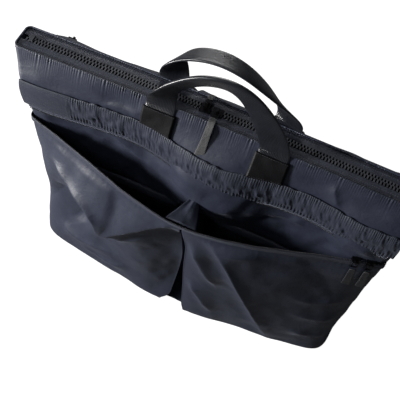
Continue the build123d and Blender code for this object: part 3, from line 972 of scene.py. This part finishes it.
def pull_tab(name, x, side, body, node):
    """The webbing tab of a top puller, lying over the zip's edge and down the slope."""
    pin = (x, side * 11.5, 356.4, 0, 8.5, 1.7)
    rest = [pin, (x, side * 17.0, 356.0, 0, 9.0, 1.7)]
    # It widens and rests on the cloth on its way down.
    on_cloth = ((4, 5.2, 9.0), (12, 4.4, 9.5), (24, 4.2, 10.5), (34, 4.6, 12.5), (41, 4.2, 13.0))
    for down, out, width in on_cloth:
        rest.append((*on_slope(x - down * 0.03, down, out, side), 0, width, 1.7))
    tab = ribbon(name, rest, 60, 0.25)
    finish_piece(tab, tab_webbing, body, [node])
    line = [on_slope(x - 1.2 + shift, 37.5, 5.3, side) for shift in np.linspace(-4.4, 4.4, 5)]
    thread = repeated(name + "_stitches", np.array(line), (1.7, 0.5, 0.5), navy_thread)
    finish_piece(thread, navy_thread, body)


pull_tab("right_top_tab", -8.5, -1, "right_top_pull", "right_top_pull_strap")
pull_tab("left_top_tab", -23.5, 1, "left_top_pull", "left_top_pull_strap")

# ---------------------------------------------------------------------------------------------
# Carry handles: two loops of heavy ribbed webbing. Their ends are sewn flat to the slopes under
# leather patches. The front loop stands on edge; the rear one twists flat into a hand grip.
# The lighter colour shows where the tone wanders lighter at random, and on the rib crests as painted light.
handle_black = (0.004, 0.005, 0.008)
worn_and_rib_lit_handle = (0.012, 0.014, 0.021)
handle_webbing = webbing_material(
    "handle_webbing", handle_black, worn_and_rib_lit_handle, ribs_per_metre=620, roughness=0.3, sheen=0.06
)
strap_width = 38.0
strap_thickness = 2.6


def handle(name, side, free_keys, nodes):
    """A loop of webbing from foot to foot, lying flat under its patches and rising off them.

    The free keys are x, y, z, tilt, width and thickness, from the left foot to the right one.
    """
    sewn = strap_thickness / 2
    first = []
    last = []
    for down in (5, 14, 24, 34):
        first.insert(0, (*on_slope(-foot_x, down, sewn, side), 0, strap_width, strap_thickness))
        last.append((*on_slope(foot_x, down, sewn, side), 0, strap_width, strap_thickness))
    loop = ribbon(name, first + free_keys + last, 260, 0.4)
    places = np.empty(len(loop.data.vertices) * 3)
    loop.data.vertices.foreach_get("co", places)
    moved = settle(places.reshape(-1, 3) / MM) * MM
    loop.data.vertices.foreach_set("co", moved.ravel())
    loop.data.materials.append(handle_webbing)
    start = on_slope(0, 4, 0, side) * MM
    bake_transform(loop)
    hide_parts(*nodes)


handle(
    "front_handle_webbing",
    -1,
    [
        (-foot_x, -19.5, 351, 0, strap_width, strap_thickness),
        (-foot_x, -21, 362, 12, 37, 2.8),
        (-69, -22, 379, 36, 32, 4),
        (-54, -22, 402, 34, 26, 6),
        (-26, -21, 426, 24, 23, 7),
        (4, -19, 434, 18, 24, 7),
        (29, -19, 426, 8, 28, 6),
        (51, -20, 402, 2, 34, 4),
        (66, -20, 374, 0, 37, 2.8),
        (foot_x, -19.5, 351, 0, strap_width, strap_thickness),
    ],
    ["front_handle", "front_handle_feet"],
)
handle(
    "rear_handle_webbing",
    1,
    [
        (-foot_x, 19.8, 352, 0, strap_width, strap_thickness),
        (-76, 21, 366, 22, 36, 3),
        (-77, 22, 386, 62, 32, 4),
        (-58, 22, 408, 76, 30, 5),
        (-24, 23, 419, 74, 30, 5.5),
        (10, 22, 415, 70, 30, 5.5),
        (44, 21, 396, 58, 31, 5),
        (66, 21, 376, 34, 35, 3.5),
        (74, 20.5, 362, 12, 38, 2.8),
        (foot_x, 19.8, 352, 0, strap_width, strap_thickness),
    ],
    ["rear_handle", "rear_handle_feet"],
)


def leather_material():
    """Near-black leather with a pebbled grain and patches that are rubbed a little shinier."""
    material, nodes, links = blank_material("black_leather")
    surface = nodes["Principled BSDF"]
    place = nodes.new("ShaderNodeTexCoord").outputs["UV"]
    grain = nodes.new("ShaderNodeTexVoronoi")
    grain.inputs["Scale"].default_value = 900
    links.new(place, grain.inputs["Vector"])
    tone = blotches(nodes, links, place, 90, 5)
    two_tones(nodes, links, tone, (0.0018, 0.0019, 0.0026), 0.35, (0.0042, 0.0044, 0.0060), 0.7)
    uneven_gloss(nodes, links, tone, 0.575, 0.25)
    surface.inputs["Specular IOR Level"].default_value = 0.2
    pebbles = relief(nodes, links, grain.outputs["Distance"], 0.25 * MM, 0.7)
    links.new(pebbles, surface.inputs["Normal"])
    return material


black_leather = leather_material()
patch_thread = thread_material("patch_thread", (0.05, 0.053, 0.066))


def patch(name, x_middle, side, seed, node):
    """A leather patch over one end of a handle, with its rows of stitching."""
    top, length = 6.0, 30.0

    def surface(u, v):
        border = np.maximum(np.abs(u), np.abs(2 * v - 1))
        out = 4.2 - 1.5 * smoothstep((border - 0.9) / 0.1) + 0.25 * noise(u * 2 + 5, v * 3, seed)
        return settle(on_slope(x_middle + u * patch_half, top + length * v, out, side))

    u, v = np.meshgrid(np.linspace(-1, 1, 60) * -side, np.linspace(1, 0, 44))
    finish_piece(cloth(name, surface(u, v), 1.5), black_leather, "bag", [node])
    rows = []
    for v in (0.06, 0.94):
        u = np.linspace(-0.92, 0.92, 15)
        rows.append(surface(u, np.full(u.shape, v)))
    thread = repeated(name + "_stitches", np.vstack(rows), (2.1, 0.55, 0.55), patch_thread)
    finish_piece(thread, patch_thread)


patch("front_left_leather", -foot_x, -1, 91, "front_left_patch")
patch("front_right_leather", foot_x, -1, 92, "front_right_patch")
patch("rear_left_leather", -foot_x, 1, 93, "rear_left_patch")
patch("rear_right_leather", foot_x, 1, 94, "rear_right_patch")

# ---------------------------------------------------------------------------------------------
# Front pockets: two large bellows pockets of the same nylon, deeper at the middle of the bag than
# at its ends. Their fronts collapse in long slanting folds and turn under at the bottom.
pocket_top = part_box("left_pocket_front")[1].z / MM
# Along the bag and ahead of its wall, from the left pocket's outer end to its inner corner.
base_front = rounded(
    [
        (-235, -8),
        (-236, 0),
        (-235, 33),
        (-222, 46),
        (-192, 53),
        (-128, 60),
        (-72, 68),
        (-33, 74),
        (-20, 72),
    ]
)
mouth_front = rounded(
    [
        (-246, -9),
        (-246, 0),
        (-243, 5),
        (-190, 18),
        (-125, 39),
        (-74, 54),
        (-20, 63),
        (-6, 62.5),
    ]
)
base_inner = np.array([(-20, 72), (-20, 36), (-20, 0)], float)
mouth_inner = np.array([(-6, 62.5), (-6, 30), (-6, 0)], float)


def pocket_grid(base_path, mouth_path, shares, rows, turn_radius):
    """A sheet between a path on the floor and a path at the mouth; its foot turns under."""
    base = spaced(base_path, shares)
    mouth = spaced(mouth_path, shares)
    along = np.gradient(base, axis=0)
    outward = np.stack([-along[:, 1], along[:, 0]], -1)
    outward /= np.linalg.norm(outward, axis=1, keepdims=True)
    turned = np.linspace(0, pi / 2, 9)[:-1]
    inset = turn_radius * (1 - np.sin(turned))
    rise = turn_radius * (1 - np.cos(turned))
    height = np.concatenate([rise + 0.6, turn_radius + (pocket_top - turn_radius) * rows])
    inset = np.concatenate([inset, rows * 0])
    level = (height / pocket_top)[:, None, None]
    between = smoothstep(np.minimum(shares, 1 - shares) * 12)[None, :, None]
    plan = base[None] * (1 - level) + mouth[None] * level - outward[None] * inset[:, None, None] * between
    z = np.broadcast_to(height[:, None], plan.shape[:2])
    return np.stack([plan[..., 0], -wall_y - plan[..., 1], z], -1)


def meet_in_middle(points, side):
    """How the pockets meet at the middle of the bag, for points laid out for the left pocket.

    Their inner corners close up under the zip, lift a little off the floor and turn back towards
    the wall. The left pocket's corner sags over the gap and turns back furthest.
    """
    x, z = points[..., 0], points[..., 2]
    sag, turn = (13.0, 24.0) if side < 0 else (3.0, 4.0)
    close_up = 5.2 * smoothstep((z - 195) / 50) * smoothstep((x + 34) / 26)
    above_floor = smoothstep((z + 6) / 40) * (1 - smoothstep((z - 120) / 110))
    shift = close_up + sag * above_floor * smoothstep((x + 62) / 44)
    lift = 7.0 * smoothstep((x + 38) / 20) * smoothstep((26 - z) / 26)
    turn = turn * smoothstep((x + 76) / 62) ** 1.5 * smoothstep((246 - z) / 60)
    turn = turn * (0.1 + 0.9 * smoothstep(z / 90))
    back = turn * np.clip((-wall_y - points[..., 1]) / 70, 0, 1)
    return points + np.stack([shift, back, lift], -1)


def left_pocket_folds(x, z):
    """A flap of cloth hangs over a dart that runs down from the outer end and back up to the middle."""
    edge = [
        (-248, 196, 0, 40, 30),
        (-222, 202, 2, 42, 26),
        (-196, 209, 6, 46, 26),
        (-167, 201, 14, 56, 22),
        (-135, 194, 23, 62, 21),
        (-114, 180, 26, 76, 18),
        (-109, 142, 24, 104, 16),
        (-80, 176, 19, 76, 9),
        (-50, 215, 13, 38, 8),
        (-24, 238, 7, 16, 8),
        (-5, 250, 2, 8, 8),
    ]
    near = flap(x, z, [(row[0], row[1], 1, 14, 14) for row in edge])
    hanging = flap(x, z, edge)
    out = near * hanging + (1 - near) * soften(hanging, 40)
    # The flap's edge is creased, and under it a long dart runs down from the outer end.
    crest = [(-224, 202), (-196, 210), (-167, 201), (-135, 195), (-114, 181), (-109, 148)]
    out += fold(x, z, crest, 6.5, 7, 5)
    out += fold(x, z, [(-230, 154), (-196, 138), (-166, 112), (-138, 86)], -13.0, 24, 48)
    # Two rolls lie over the foot, a crease falls from the lip and one climbs to the inner corner.
    out += fold(x, z, [(-216, 72), (-175, 54), (-126, 68), (-72, 76)], 6.0, 8, 18)
    out += fold(x, z, [(-174, 40), (-116, 38), (-68, 60)], 4.0, 6, 9)
    out += fold(x, z, [(-206, 248), (-183, 231), (-152, 216)], 1.6, 6, 6)
    out += fold(x, z, [(-104, 128), (-76, 146), (-40, 176)], 4.0, 5, 12)
    out += 2.2 * noise(x / 40 + z / 90, z / 38 - x / 120, 101) + 0.8 * noise(x / 15, z / 15, 102)
    return soften(out, 2)


def right_pocket_folds(x, z):
    """Long folds fall from the inner top corner across to the middle of the foot."""
    edge = [
        (24, 256, 1, 30, 9),
        (44, 240, 8, 60, 9),
        (61, 219, 13, 80, 10),
        (78, 187, 17, 100, 11),
        (94, 153, 18, 110, 11),
        (118, 98, 16, 110, 11),
        (142, 40, 10, 110, 11),
        (154, 12, 2, 100, 9),
    ]
    out = flap(x, z, edge)
    # The long edge is creased, and two broad rolls fall beside it, one above the other.
    out += fold(x, z, [(44, 240), (61, 219), (94, 153), (118, 98), (142, 40)], 4.0, 6, 4)
    out += fold(x, z, [(6, 232), (34, 178), (64, 116)], 9.0, 18, 8)
    out += fold(x, z, [(16, 118), (40, 84), (66, 32)], 8.0, 16, 8)
    # A short roll lies under the lip, and three shallow ones lie towards the outer end.
    out += fold(x, z, [(48, 250), (64, 240), (108, 244)], 3.0, 4, 6)
    out += fold(x, z, [(150, 160), (190, 150), (232, 158)], 3.0, 6, 9)
    out += fold(x, z, [(156, 120), (200, 108), (234, 112)], 3.5, 7, 9)
    out += fold(x, z, [(166, 70), (205, 56), (236, 60)], 3.0, 7, 10)
    out += 2.0 * noise(x / 46 - z / 90, z / 44 + x / 130, 111) + 0.7 * noise(x / 16, z / 16, 112)
    return soften(out, 3)


def mirrored(points, side):
    """A sheet laid out for the left pocket, as it is or turned over for the right pocket."""
    if side < 0:
        return points
    return (points * (-1, 1, 1))[:, ::-1]


def pocket_front(name, side, folds):
    """The front of a pocket, with its rounded outer end, its folds and the pull of its lip."""
    rows = np.linspace(0, 1, 150)
    sheet = pocket_grid(base_front, mouth_front, np.linspace(0, 1, 230), rows, 13.0)
    front = mirrored(meet_in_middle(sheet, side), side)
    x, z = front[..., 0], front[..., 2]
    column = np.linspace(0, 1, front.shape[1])[None, :]
    free = smoothstep(np.minimum(column, 1 - column) * 16)
    held = free * smoothstep((pocket_top - z) / 16) * smoothstep(z / 14)
    belly = 2.0 * np.sin(pi * np.clip(z / pocket_top, 0, 1)) ** 0.8 * np.sin(pi * column)
    lip_pull = gathers(x, pocket_top - z, 121 + side, 9.0, 0.22, 7.0) * free
    at_lip = smoothstep((pocket_top + 0.5 - z) / 3)
    front = push_out(front, (folds(x, z) + belly) * held + lip_pull * at_lip)
    piece = cloth(name + "_front_cloth", front, 1.4)
    finish_piece(piece, nylon, "bag", [name + "_front", name + "_outer_side"])


def pocket_inner(name, side):
    """The side of a pocket that faces the other one, tucked in along its middle."""
    rows = np.linspace(0, 1, 150)[::2]
    sheet = pocket_grid(base_inner, mouth_inner, np.linspace(0, 1, 40), rows, 6.0)
    inner = mirrored(meet_in_middle(sheet, side), side)
    depth = np.linspace(0, 1, 40)[None, :] if side < 0 else np.linspace(1, 0, 40)[None, :]
    z = inner[..., 2]
    tuck = np.sin(pi * depth) * smoothstep((pocket_top - 12 - z) / 40) * smoothstep(z / 20)
    inner = push_out(inner, tuck * (1.6 * noise(depth * 3 + z / 60, z / 30, 131 + side) - 4.5))
    grids = [inner, gusset_cap()] if side < 0 else [inner]
    finish_piece(cloth(name + "_inner_cloth", grids, 1.2), nylon, "bag", [name + "_inner_side"])


def pocket_base(name, side):
    """The floor of a pocket, from its rim back to the wall."""
    front_rim = spaced(base_front, np.linspace(0, 1, 90))
    inner_rim = spaced(base_inner, np.linspace(0, 1, 20))
    rim = np.vstack([front_rim, inner_rim[1:]])
    back = np.stack([rim[:, 0], np.full(len(rim), 1.5)], -1)
    middle = (rim + back) / 2
    inset = 6.0 * (middle - rim) / np.maximum(np.linalg.norm(middle - rim, axis=1, keepdims=True), 6.0)
    lines = np.stack([back, middle, rim + inset * 1.6])
    floor = np.stack([lines[..., 0], -wall_y - lines[..., 1], np.full(lines.shape[:2], 0.9)], -1)
    grids = [mirrored(meet_in_middle(floor, side), side)[::-1]]
    if side < 0:
        grids.append(base_bridge())
    finish_piece(cloth(name + "_base_cloth", grids, 0.6), nylon, "bag", [name + "_base"])


def base_bridge():
    """The strip of base cloth that joins the two pockets at the foot of the gap between them."""
    across, ahead = np.meshgrid(np.linspace(-36, 36, 40), np.linspace(0, 1, 30))
    crown = np.cos(np.clip(across / 21, -1, 1) * pi / 2)
    rise = 2.0 + 5.0 * crown * (1 - 0.5 * ahead) + 0.8 * noise(across / 8, ahead * 6, 161)
    rise += 22 * np.clip(1 - ahead * 9, 0, 1) ** 2
    return np.stack([across, 2 - wall_y - 62 * ahead, rise], -1)[::-1]


def gusset_cap():
    """The small gusset that closes the gap between the pockets, from the wall out to the lip."""
    across, ahead = np.meshgrid(np.linspace(-1, 1, 24), np.linspace(0, 1, 24))
    x = across * (2.0 + 19.0 * ahead) - 2.0 * ahead
    y = -wall_y - 6.5 - 55.0 * ahead
    z = pocket_top + 2 + 5 * ahead - 3.0 * np.sin(pi * ahead)
    z += 3.0 * (1 - np.abs(across)) * np.sin(pi * ahead * 0.8)
    z += 1.2 * noise(across * 2 + 4, ahead * 4, 171)
    return np.stack([x, y, z], -1)[::-1]


for pocket, side, folds in (("left_pocket", -1, left_pocket_folds), ("right_pocket", 1, right_pocket_folds)):
    pocket_front(pocket, side, folds)
    pocket_inner(pocket, side)
    pocket_base(pocket, side)


def slip_pocket(name, side):
    """A flat inner pocket on the wall behind a bellows pocket, gaping a little under its hem."""
    low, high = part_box(name)
    share, up = np.meshgrid(np.linspace(0, 1, 130), np.linspace(0, 1, 50))
    across = (low.x + (high.x - low.x) * share) / MM
    arch = np.sin(pi * share)
    z = (low.z + (high.z - low.z) * up) / MM + 5 * arch
    inside = arch ** 0.5
    gape = 7.5 * inside * smoothstep((up - 0.35) / 0.65) + 9.0 * np.exp(-(((z - 205) / 40) ** 2))
    ripple = 1.2 * noise(across / 26, z / 30, 141 + side) * inside
    sheet = settle(on_wall(across, z, 1.6 + gape + ripple, -1))
    finish_piece(cloth(name + "_cloth", sheet, 0.8), nylon, "bag", [name])
    top = sheet[-1]
    outer_face = [(1.3, -0.5), (1.9, 0.5), (1.9, 6.5), (1.0, 8.4)]
    inner_face = [(-0.8, 8.4), (-1.7, 6.5), (-1.7, 0.5), (-1.1, -0.5)]
    profile = outer_face + inner_face
    rings = np.stack([top + (0, 0.55 * rise - out, rise * 0.95) for out, rise in profile], 1)
    across = np.array([rise for out, rise in profile])
    hem = tube(name + "_hem_cloth", rings, across)
    finish_piece(hem, tape_cloth, "bag", [name + "_hem"])
    thread = []
    for rise in (1.4, 5.6):
        thread.append(top[2:-2:3] + (0, 0.55 * rise - 2.0, rise * 0.95))
    stitches = repeated(name + "_stitches", np.vstack(thread), (2.4, 0.5, 0.5), navy_thread)
    finish_piece(stitches, navy_thread)


slip_pocket("left_slip_pocket", -1)
slip_pocket("right_slip_pocket", 1)

# ---------------------------------------------------------------------------------------------
# Front zip: one coil zip closes both pockets. It is open. Its lower tape stands along the pockets'
# lip, and its upper tape hides under the front facing. Two sliders wait at the right end.
lip_half = rounded(
    [
        (-246, -8),
        (-246, 0.5),
        (-243, 5.5),
        (-190, 18.5),
        (-125, 39.5),
        (-74, 54.5),
        (-22, 63),
        (0, 63.6),
    ]
)
lip_path = np.vstack([lip_half, (lip_half * (-1, 1))[-2::-1]])
lip_tape_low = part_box("front_zip_lip_tape")[0].z / MM
lip_tape_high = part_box("front_zip_lip_tape")[1].z / MM


def lip_points(shares, z, out):
    """Points along the lip; it leans out a little where the pockets meet."""
    plan = spaced(lip_path, shares)
    along = np.gradient(plan, axis=0)
    along /= np.linalg.norm(along, axis=1, keepdims=True)
    normal = np.stack([-along[:, 1], along[:, 0]], -1)
    rise = (z - lip_tape_low) / (lip_tape_high - lip_tape_low)
    lean = 2.2 * rise * np.exp(-((plan[:, 0] / 70) ** 2)) + 0.5 * rise * noise(plan[:, 0] / 18, 1.5, 151)
    plan = plan + normal * (out + lean)[:, None]
    height = z + 0.5 * noise(plan[:, 0] / 24, 7.0, 152)
    return np.stack([plan[:, 0], -wall_y - plan[:, 1], height], -1)


shares = np.linspace(0, 1, 620)
tape_rows = []
for height, out in ((-1.5, 0.7), (0, 1.5), (1.2, 1.2), (4, 1.0), (6.5, 1.2), (8.2, 0.9)):
    tape_rows.append(lip_points(shares, lip_tape_low + height, out))
lip_tape = cloth("lip_tape_cloth", np.array(tape_rows), 1.3)
finish_piece(lip_tape, tape_cloth, "bag", ["front_zip_lip_tape"])
coil_plastic = moulded_material("coil_plastic", (0.022, 0.023, 0.028), 0.4)
lip_length = np.linalg.norm(np.diff(lip_path, axis=0), axis=1).sum()
coil_pitch = 1.9
shares = np.linspace(0.01, 0.99, int(lip_length / coil_pitch))
coils = lip_points(shares, lip_tape_high + 1.0, 0.2)
lip_coil = repeated("lip_coil", coils, (1.3, 2.3, 2.4), coil_plastic)
finish_piece(lip_coil, coil_plastic, "bag", ["front_zip_lip_teeth"])
shares = np.linspace(0.01, 0.99, int(lip_length / 3.0))
thread = lip_points(shares, lip_tape_low + 2.0, 1.3)
lip_thread = repeated("lip_stitches", thread, (2.1, 0.5, 0.5), navy_thread)
finish_piece(lip_thread, navy_thread)

tape_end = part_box("front_zip_upper_tape")[1].x / MM
rows = np.linspace(facing_low - 5, facing_low + 8, 8)
across, up = np.meshgrid(np.linspace(-tape_end, tape_end, 300), rows)
upper_tape = cloth("upper_tape_cloth", settle(on_wall(across, up, 1.3, -1)), 0.9)
finish_piece(upper_tape, tape_cloth, "bag", ["front_zip_upper_tape"])
coil_end = tape_end - 2
x = np.arange(-coil_end, coil_end, coil_pitch)
coils = settle(on_wall(x, facing_low - 6, 1.6, -1))
upper_coil = repeated("upper_coil", coils, (1.3, 2.1, 2.6), coil_plastic)
finish_piece(upper_coil, coil_plastic, "bag", ["front_zip_upper_teeth"])
repaint(dark_metal, "inner_front_slider", "outer_front_slider", "inner_front_puller", "outer_front_puller")


def front_tab(name, body, node):
    """The webbing tab that hangs from a front puller."""
    low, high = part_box(node)
    x, y = (low.x + high.x) / 2 / MM, (low.y + high.y) / 2 / MM
    bottom, top = low.z / MM, high.z / MM
    keys = [
        (x, y, top - 0.5, -13.8, 8.5, 1.7),
        (x, y - 0.5, top - 8, -14, 9.0, 1.7),
        (x + 0.5, y - 1.5, (top + bottom) / 2, -16, 10.0, 1.7),
        (x + 1, y - 1, bottom + 8, -12, 11.0, 1.7),
        (x + 1, y - 1, bottom + 0.5, -12, 11.0, 1.7),
    ]
    finish_piece(ribbon(name, keys, 40, 0.2), tab_webbing, body, [node])


front_tab("inner_front_tab", "inner_front_pull", "inner_front_pull_strap")
front_tab("outer_front_tab", "outer_front_pull", "outer_front_pull_strap")

# ---------------------------------------------------------------------------------------------
# Back zip: a closed coil zip under the back facing's upper edge, with one slider and a wire puller.
# Its two tapes lie along the wall, and the chain stands a little proud of them.
chain_low, chain_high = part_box("back_zip_teeth")
back_chain_z = (chain_low.z + chain_high.z) / 2 / MM
rows = np.linspace(back_chain_z - 11, back_chain_z + 11, 12)
across, up = np.meshgrid(np.linspace(tape_end, -tape_end, 300), rows)
tape_out = 3.9 + 1.2 * np.exp(-(((up - back_chain_z) / 5) ** 2))
back_tapes = cloth("back_tape_cloth", settle(on_wall(across, up, tape_out, 1)), 0.9)
finish_piece(back_tapes, tape_cloth, "bag", ["back_zip_tapes"])
x = np.arange(-coil_end, coil_end, coil_pitch)
coils = settle(on_wall(x, back_chain_z, 5.3, 1))
back_coil = repeated("back_coil", coils, (1.3, 2.6, 3.0), coil_plastic)
finish_piece(back_coil, coil_plastic, "bag", ["back_zip_teeth"])
repaint(dark_metal, "back_slider", "back_puller")

# ---------------------------------------------------------------------------------------------
# Inside: the stiffener in the base is a plain black board, and the flat pocket on the back lining is
# made of the lining's own thin cloth. Both keep the plain shapes they have in the model.
inner_cloth = cloth_material(
    "inner_cloth", grey, worn_grey, roughness=0.6, sheen=0.1,
    ribs=2600, crease_height=1.2, weave_height=0.05, uv=False,
)
repaint(inner_cloth, "inner_pocket")
repaint(moulded_material("black_board", (0.02, 0.02, 0.02), 0.6), "base_board")
